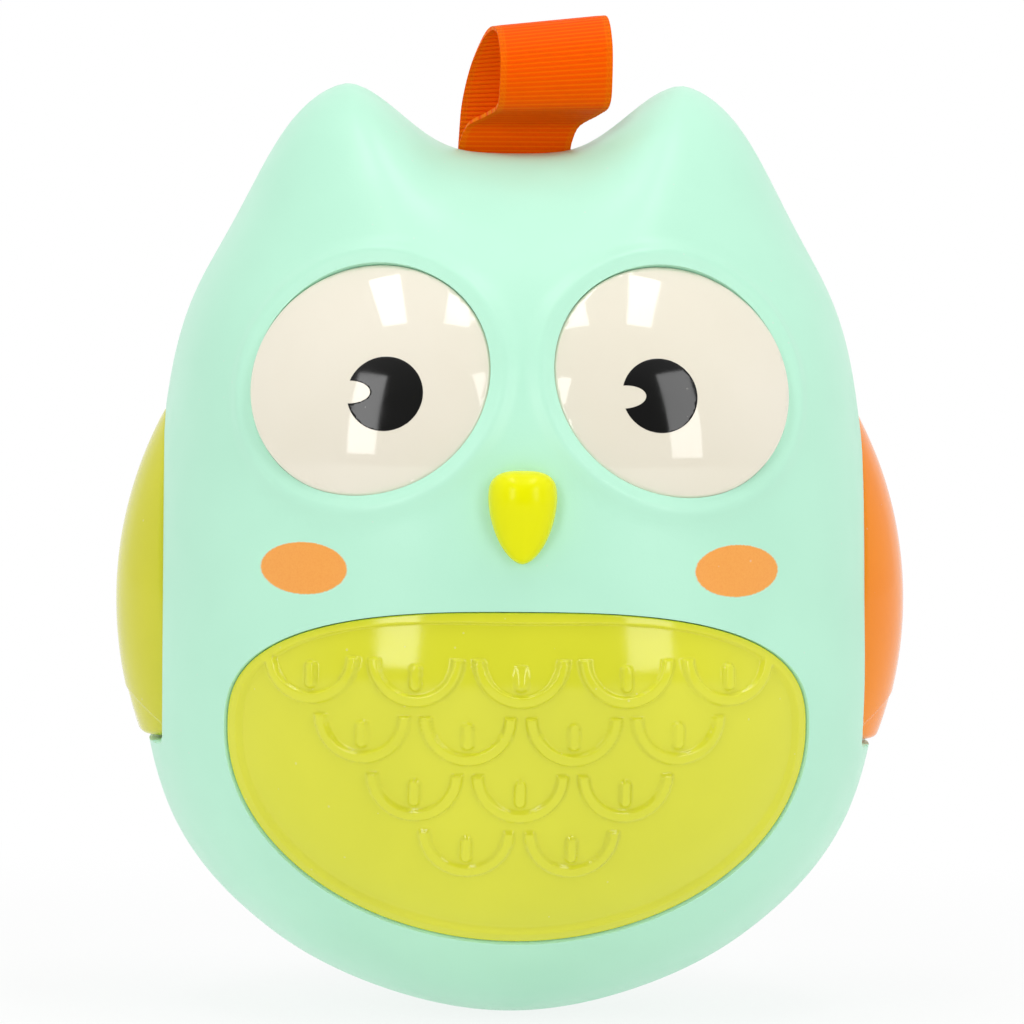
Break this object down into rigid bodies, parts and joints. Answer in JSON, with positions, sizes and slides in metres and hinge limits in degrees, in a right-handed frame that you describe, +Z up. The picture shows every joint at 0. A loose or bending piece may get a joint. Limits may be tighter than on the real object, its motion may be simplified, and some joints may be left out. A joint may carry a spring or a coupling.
{
  "type": "roly poly owl toy",
  "caption": "Self-righting owl toy with a weighted round base, rolling eyes, hinged wings, an inlaid belly panel, an inner chime and a ribbon loop on its crown.",
  "frame": {"origin": "centre of the flat foot under the body", "axes": "+Z up, -Y out of the owl's face, +X to the right of someone who looks at the face"},
  "size_m": [0.141, 0.1245, 0.1765],
  "materials": {
    "shell": "satin",
    "liner": "satin",
    "belly": "gloss",
    "beak": "gloss",
    "eye": "gloss",
    "pupil": "gloss",
    "wing_lime": "gloss",
    "wing_orange": "gloss",
    "ribbon": "ribbed weave",
    "steel": "bright",
    "iron": "as cast",
    "clip": "satin",
    "chime": "satin"
  },
  "bodies": {
    "body": {"front_shell": "shell", "rear_shell": "shell", "shell_screws": "steel", "belly_panel": "belly", "beak": "beak", "beak_clip": "clip", "left_eye_plate": "liner", "right_eye_plate": "liner", "left_wing_pin": "steel", "left_wing_plate": "liner", "right_wing_pin": "steel", "right_wing_plate": "liner", "ribbon_loop": "ribbon", "ribbon_bar": "steel", "ballast": "iron", "ballast_screws": "steel", "chime_frame": "chime", "chime_rods": "steel", "clapper_pin": "steel"},
    "left_eye": {"left_eye": "eye", "left_pupil": "pupil", "left_eye_weight": "steel", "left_eye_axle": "steel", "left_eye_clip": "clip"},
    "right_eye": {"right_eye": "eye", "right_pupil": "pupil", "right_eye_weight": "steel", "right_eye_axle": "steel", "right_eye_clip": "clip"},
    "left_wing": {"left_wing": "wing_lime"},
    "right_wing": {"right_wing": "wing_orange"},
    "clapper": {"clapper": "steel"}
  },
  "joints": [
    {"name": "left_eye_roll", "type": "hinge", "parent": "body", "child": "left_eye", "pos_m": [-0.02704, -0.04843, 0.115], "axis": [-0.2556, -0.8862, 0.3863], "continuous": true},
    {"name": "right_eye_roll", "type": "hinge", "parent": "body", "child": "right_eye", "pos_m": [0.02704, -0.04843, 0.115], "axis": [0.2556, -0.8862, 0.3863], "continuous": true},
    {"name": "left_wing_flap", "type": "hinge", "parent": "body", "child": "left_wing", "pos_m": [-0.0595, 0, 0.09801], "axis": [0, 1, 0], "range_deg": [0, 20]},
    {"name": "right_wing_flap", "type": "hinge", "parent": "body", "child": "right_wing", "pos_m": [0.0595, 0, 0.09801], "axis": [0, -1, 0], "range_deg": [0, 20]},
    {"name": "clapper_swing", "type": "hinge", "parent": "body", "child": "clapper", "pos_m": [0, 0, 0.0684], "axis": [0, 1, 0], "range_deg": [-21, 21]}
  ]
}
